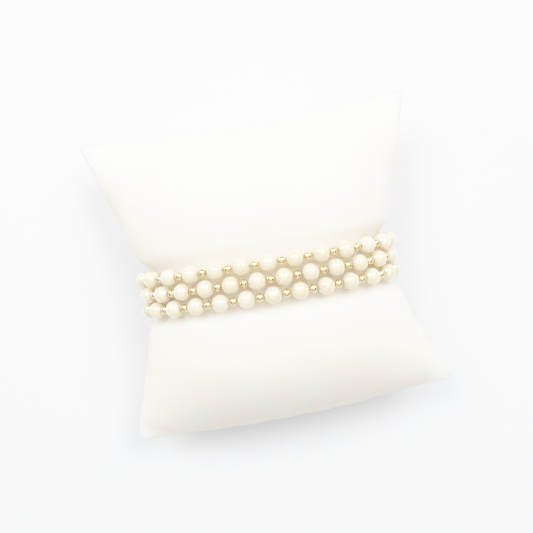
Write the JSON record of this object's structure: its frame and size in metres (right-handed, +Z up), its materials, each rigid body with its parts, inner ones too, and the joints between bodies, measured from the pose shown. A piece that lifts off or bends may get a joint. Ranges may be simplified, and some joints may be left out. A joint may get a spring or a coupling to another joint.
{
  "type": "pearl bracelet on display pillow",
  "caption": "Bracelet of parallel rows of cream pearls and small gold beads, worn round the waist of a plain stuffed off-white display pillow that lies flat.",
  "frame": {"origin": "on the table, under the middle of the pillow's outline", "axes": "+X along the rows of beads to the right, +Y to the back of the pillow, +Z up"},
  "size_m": [0.1028, 0.097, 0.0459],
  "materials": {
    "pillow_cover": "smooth matte off-white leatherette over soft filling",
    "pearl": "cream nacre with high lustre",
    "gold": "polished yellow gold plating",
    "thread": "fine off-white beading thread"
  },
  "bodies": {
    "root": {"display_pillow": "pillow_cover", "strand_front": "pearl", "strand_middle": "pearl", "strand_back": "pearl", "clasp": "gold"}
  },
  "joints": []
}
